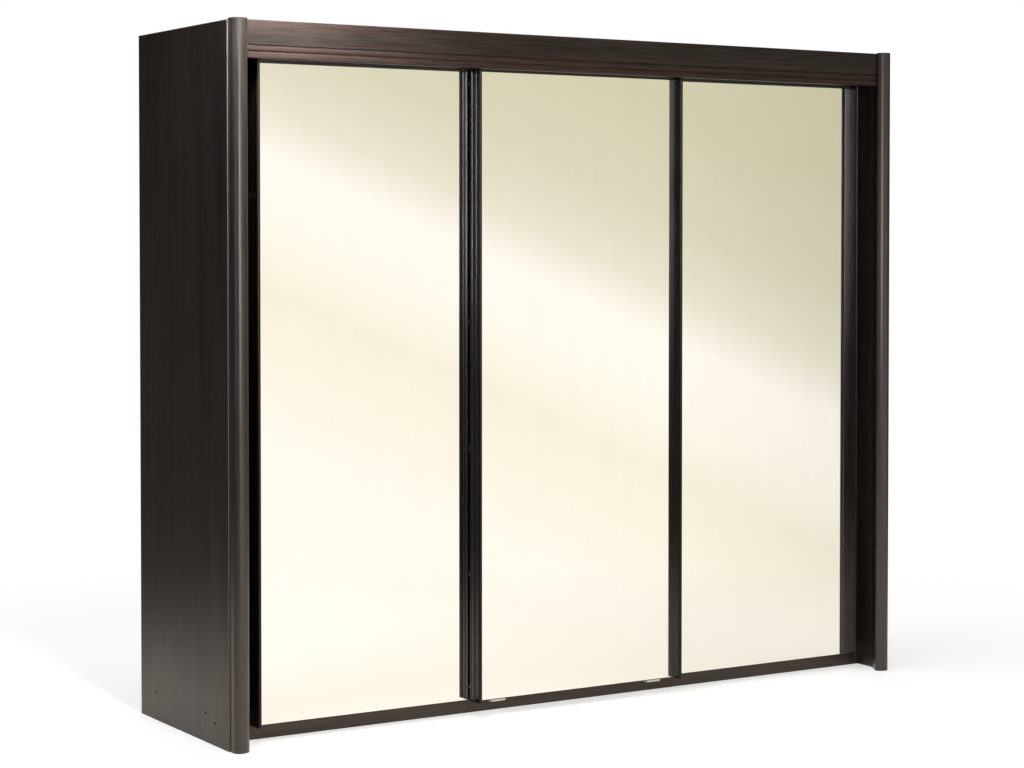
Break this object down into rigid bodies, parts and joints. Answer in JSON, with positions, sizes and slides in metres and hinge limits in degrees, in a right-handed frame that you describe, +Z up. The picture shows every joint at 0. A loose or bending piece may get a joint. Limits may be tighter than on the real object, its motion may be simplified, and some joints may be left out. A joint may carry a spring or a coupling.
{
  "type": "sliding door wardrobe",
  "caption": "Wide dark wood wardrobe with mirrored sliding doors on two planes, moulded front posts, a grooved cornice, shelves and hanging rails inside.",
  "frame": {"origin": "on the floor, in the middle of the footprint", "axes": "+X across the front to the viewer's right, +Y from the front to the back, +Z up"},
  "size_m": [2.3, 0.64, 1.97],
  "materials": {
    "wenge_board": "matt laminate, vertical grain",
    "wenge_moulding": "satin foil-wrapped moulding",
    "wenge_strip": "satin foil-wrapped strip",
    "guide_profile": "matt dark extrusion",
    "hardboard": "raw hardboard",
    "mirror_glass": "silvered float glass",
    "chrome": "bright plated",
    "zinc_steel": "zinc plated",
    "track_aluminium": "mill finish",
    "nylon": "pale moulded nylon",
    "cap_plastic": "moulded cap",
    "rubber": "black rubber"
  },
  "bodies": {
    "carcase": {"left_side_panel": "wenge_board", "right_side_panel": "wenge_board", "left_front_post": "wenge_moulding", "right_front_post": "wenge_moulding", "cornice_board": "wenge_moulding", "top_panel": "wenge_board", "bottom_panel": "wenge_board", "front_plinth": "wenge_board", "rear_plinth": "wenge_board", "left_partition": "wenge_board", "right_partition": "wenge_board", "back_panel_left": "hardboard", "back_panel_middle": "hardboard", "back_panel_right": "hardboard", "back_nails": "zinc_steel", "left_top_shelf": "wenge_board", "right_top_shelf": "wenge_board", "middle_shelf_1": "wenge_board", "middle_shelf_2": "wenge_board", "middle_shelf_3": "wenge_board", "middle_shelf_4": "wenge_board", "left_hanging_rail": "chrome", "right_hanging_rail": "chrome", "rail_sockets": "chrome", "shelf_pins": "zinc_steel", "top_track": "track_aluminium", "bottom_guide_rail": "guide_profile", "track_stops": "rubber", "panel_screws": "chrome", "screw_caps": "cap_plastic", "cornice_brackets": "zinc_steel"},
    "left_door": {"left_door_board": "wenge_board", "left_mirror": "mirror_glass", "left_handle_strip": "wenge_strip", "left_top_strip": "wenge_strip", "left_hangers": "zinc_steel", "left_guides": "nylon", "left_strip_screws": "chrome"},
    "middle_door": {"middle_door_board": "wenge_board", "middle_mirror": "mirror_glass", "middle_left_handle_strip": "wenge_strip", "middle_right_handle_strip": "wenge_strip", "middle_top_strip": "wenge_strip", "middle_hangers": "zinc_steel", "middle_shoes": "nylon", "middle_strip_screws": "chrome"},
    "right_door": {"right_door_board": "wenge_board", "right_mirror": "mirror_glass", "right_handle_strip": "wenge_strip", "right_top_strip": "wenge_strip", "right_hangers": "zinc_steel", "right_guides": "nylon", "right_strip_screws": "chrome"},
    "left_outer_roller_pair": {"left_outer_rollers": "nylon"},
    "left_inner_roller_pair": {"left_inner_rollers": "nylon"},
    "middle_left_roller_pair": {"middle_left_rollers": "nylon"},
    "middle_right_roller_pair": {"middle_right_rollers": "nylon"},
    "right_inner_roller_pair": {"right_inner_rollers": "nylon"},
    "right_outer_roller_pair": {"right_outer_rollers": "nylon"}
  },
  "joints": [
    {"name": "left_door_slide", "type": "slide", "parent": "carcase", "child": "left_door", "axis": [1, 0, 0], "range_m": [-0.028, 0.325]},
    {"name": "middle_door_slide", "type": "slide", "parent": "carcase", "child": "middle_door", "axis": [1, 0, 0], "range_m": [-0.345, 0.345]},
    {"name": "right_door_slide", "type": "slide", "parent": "carcase", "child": "right_door", "axis": [-1, 0, 0], "range_m": [0, 0.353]},
    {"name": "left_outer_roller_turn", "type": "hinge", "parent": "left_door", "child": "left_outer_roller_pair", "pos_m": [-0.956, -0.203, 1.9103], "axis": [0, 1, 0], "range_deg": [-135, 1555]},
    {"name": "left_inner_roller_turn", "type": "hinge", "parent": "left_door", "child": "left_inner_roller_pair", "pos_m": [-0.416, -0.203, 1.9103], "axis": [0, 1, 0], "range_deg": [-135, 1555]},
    {"name": "middle_left_roller_turn", "type": "hinge", "parent": "middle_door", "child": "middle_left_roller_pair", "pos_m": [-0.27, -0.231, 1.9103], "axis": [0, 1, 0], "range_deg": [-1650, 1650]},
    {"name": "middle_right_roller_turn", "type": "hinge", "parent": "middle_door", "child": "middle_right_roller_pair", "pos_m": [0.27, -0.231, 1.9103], "axis": [0, 1, 0], "range_deg": [-1650, 1650]},
    {"name": "right_inner_roller_turn", "type": "hinge", "parent": "right_door", "child": "right_inner_roller_pair", "pos_m": [0.444, -0.203, 1.9103], "axis": [0, -1, 0], "range_deg": [0, 1690]},
    {"name": "right_outer_roller_turn", "type": "hinge", "parent": "right_door", "child": "right_outer_roller_pair", "pos_m": [0.984, -0.203, 1.9103], "axis": [0, -1, 0], "range_deg": [0, 1690]}
  ],
  "couplings": [
    {"joint": "left_outer_roller_turn", "follows": "left_door_slide", "rad_per_m": 83.333},
    {"joint": "left_inner_roller_turn", "follows": "left_door_slide", "rad_per_m": 83.333},
    {"joint": "middle_left_roller_turn", "follows": "middle_door_slide", "rad_per_m": 83.333},
    {"joint": "middle_right_roller_turn", "follows": "middle_door_slide", "rad_per_m": 83.333},
    {"joint": "right_inner_roller_turn", "follows": "right_door_slide", "rad_per_m": 83.333},
    {"joint": "right_outer_roller_turn", "follows": "right_door_slide", "rad_per_m": 83.333}
  ]
}
